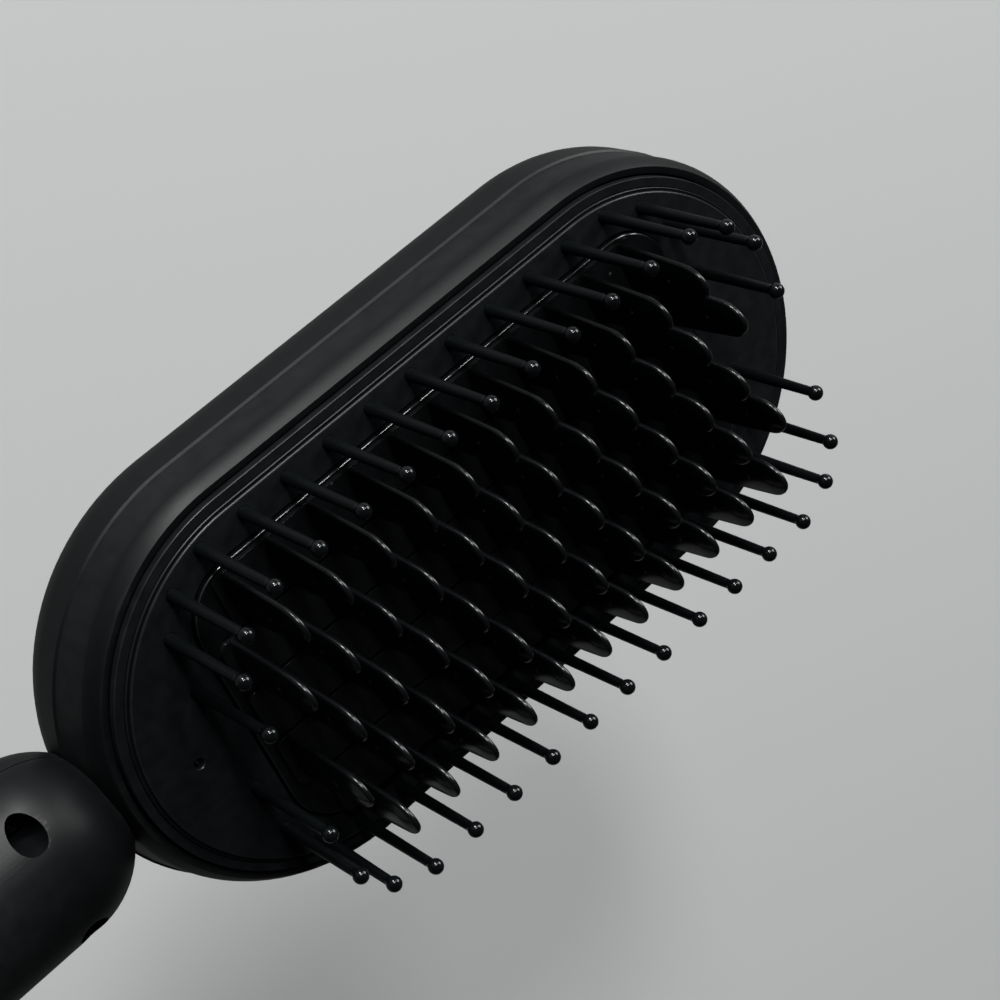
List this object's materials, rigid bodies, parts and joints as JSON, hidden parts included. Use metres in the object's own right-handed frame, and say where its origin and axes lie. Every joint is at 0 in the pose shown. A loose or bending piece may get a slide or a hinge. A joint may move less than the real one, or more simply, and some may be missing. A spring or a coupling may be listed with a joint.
{
  "type": "heated styling brush",
  "caption": "Paddle-shaped heated styling brush with staggered flat blades inside a ring of ball-tipped pins and a round handle with push buttons.",
  "frame": {"origin": "on the flat back of the head, in the middle of the head's outline", "axes": "+X from the handle toward the tip of the head, +Y toward one long side, +Z out of the back toward the bristle side"},
  "size_m": [0.3029, 0.0698, 0.0441],
  "materials": {
    "soft_touch_shell": "soft-touch coating, dark grey-black",
    "matte_moulding": "fine matte texture",
    "pin_nylon": "satin moulded nylon",
    "heater_coating": "glossy ceramic coating on cast aluminium",
    "gloss_panel": "polished",
    "button_plastic": "satin",
    "heater_ceramic": "unglazed",
    "mica_sheet": "pressed mica",
    "bare_aluminium": "rolled",
    "bare_steel": "zinc plated",
    "wire_insulation": "silicone",
    "circuit_board": "solder mask",
    "gland_rubber": "moulded"
  },
  "bodies": {
    "brush_body": {"head_back_cover": "soft_touch_shell", "head_front_cover": "soft_touch_shell", "front_frame": "matte_moulding", "bristle_plate": "matte_moulding", "near_bristle_strip": "pin_nylon", "far_bristle_strip": "pin_nylon", "tip_bristle_strip": "pin_nylon", "heel_bristle_strip": "pin_nylon", "heater_plate": "heater_coating", "blade_comb_1": "heater_coating", "blade_comb_2": "heater_coating", "blade_comb_3": "heater_coating", "blade_comb_4": "heater_coating", "blade_comb_5": "heater_coating", "heating_element": "heater_ceramic", "insulation_sheet": "mica_sheet", "heater_clamp_plate": "bare_aluminium", "clamp_screw_1": "bare_steel", "clamp_screw_2": "bare_steel", "clamp_screw_3": "bare_steel", "clamp_screw_4": "bare_steel", "heater_carrier": "matte_moulding", "carrier_screw_1": "bare_steel", "carrier_screw_2": "bare_steel", "carrier_screw_3": "bare_steel", "carrier_screw_4": "bare_steel", "thermal_fuse": "bare_steel", "temperature_sensor": "heater_ceramic", "ion_emitter": "bare_steel", "ion_generator": "matte_moulding", "neck_tube": "matte_moulding", "lead_bundle": "wire_insulation", "handle_front_shell": "soft_touch_shell", "handle_back_shell": "soft_touch_shell", "handle_screw_1": "bare_steel", "handle_screw_2": "bare_steel", "control_panel": "gloss_panel", "display_lens": "gloss_panel", "display_module": "matte_moulding", "control_board": "circuit_board", "board_screw_1": "bare_steel", "board_screw_2": "bare_steel", "temperature_up_switch": "matte_moulding", "temperature_down_switch": "matte_moulding", "power_switch": "matte_moulding", "end_cap": "soft_touch_shell", "swivel_retainer": "bare_steel"},
    "power_button": {"power_button": "button_plastic", "power_plunger": "pin_nylon"},
    "temperature_up_button": {"temperature_up_button": "button_plastic", "temperature_up_plunger": "pin_nylon"},
    "temperature_down_button": {"temperature_down_button": "button_plastic", "temperature_down_plunger": "pin_nylon"},
    "swivel_gland": {"swivel_gland": "gland_rubber"}
  },
  "joints": [
    {"name": "power_button_press", "type": "slide", "parent": "brush_body", "child": "power_button", "axis": [0, 0, -1], "range_m": [0, 0.0006], "stiffness_N_per_m": 1000, "springref_m": -0.0004},
    {"name": "temperature_up_button_press", "type": "slide", "parent": "brush_body", "child": "temperature_up_button", "axis": [0, 0, -1], "range_m": [0, 0.0006], "stiffness_N_per_m": 1000, "springref_m": -0.0004},
    {"name": "temperature_down_button_press", "type": "slide", "parent": "brush_body", "child": "temperature_down_button", "axis": [0, 0, -1], "range_m": [0, 0.0006], "stiffness_N_per_m": 1000, "springref_m": -0.0004},
    {"name": "swivel_gland_turn", "type": "hinge", "parent": "brush_body", "child": "swivel_gland", "pos_m": [-0.2272, 0, 0.014], "axis": [1, 0, 0], "continuous": true}
  ]
}
